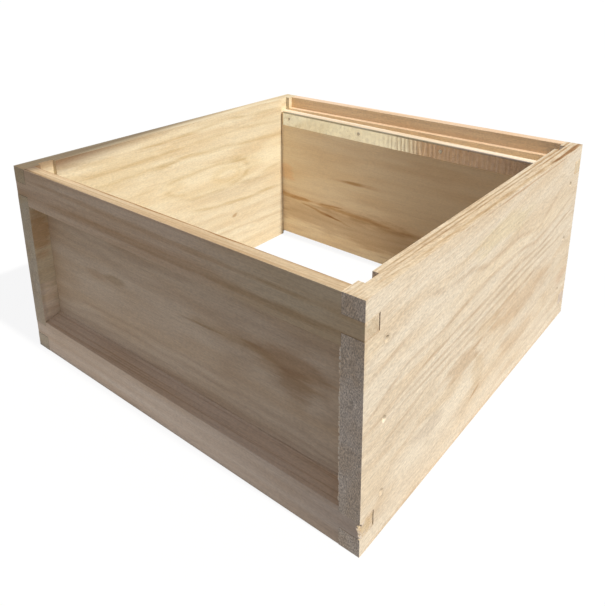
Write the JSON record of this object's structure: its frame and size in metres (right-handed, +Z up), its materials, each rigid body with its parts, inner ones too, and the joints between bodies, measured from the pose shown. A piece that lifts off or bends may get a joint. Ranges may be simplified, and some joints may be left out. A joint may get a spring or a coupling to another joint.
{
  "type": "hive brood box",
  "caption": "Square wooden brood box, open above and below, with finger-jointed rails, recessed end panels and metal runners that carry frame lugs.",
  "frame": {"origin": "centre of the box's footprint, on the ground", "axes": "+X from the left side wall to the right one, +Y from the front end to the rear end, +Z up"},
  "size_m": [0.46, 0.46, 0.225],
  "materials": {
    "side_pine": "bare, planed",
    "panel_pine": "bare, planed",
    "rail_pine": "bare, planed",
    "galvanised_strip": "galvanised",
    "nail_steel": "bright"
  },
  "bodies": {
    "root": {"left_side_wall": "side_pine", "right_side_wall": "side_pine", "front_end_panel": "panel_pine", "rear_end_panel": "panel_pine", "front_top_rail": "rail_pine", "rear_top_rail": "rail_pine", "front_bottom_rail": "rail_pine", "rear_bottom_rail": "rail_pine", "front_frame_runner": "galvanised_strip", "rear_frame_runner": "galvanised_strip", "front_runner_nails": "nail_steel", "rear_runner_nails": "nail_steel", "left_front_brads": "nail_steel", "left_rear_brads": "nail_steel", "right_front_brads": "nail_steel", "right_rear_brads": "nail_steel"}
  },
  "joints": []
}
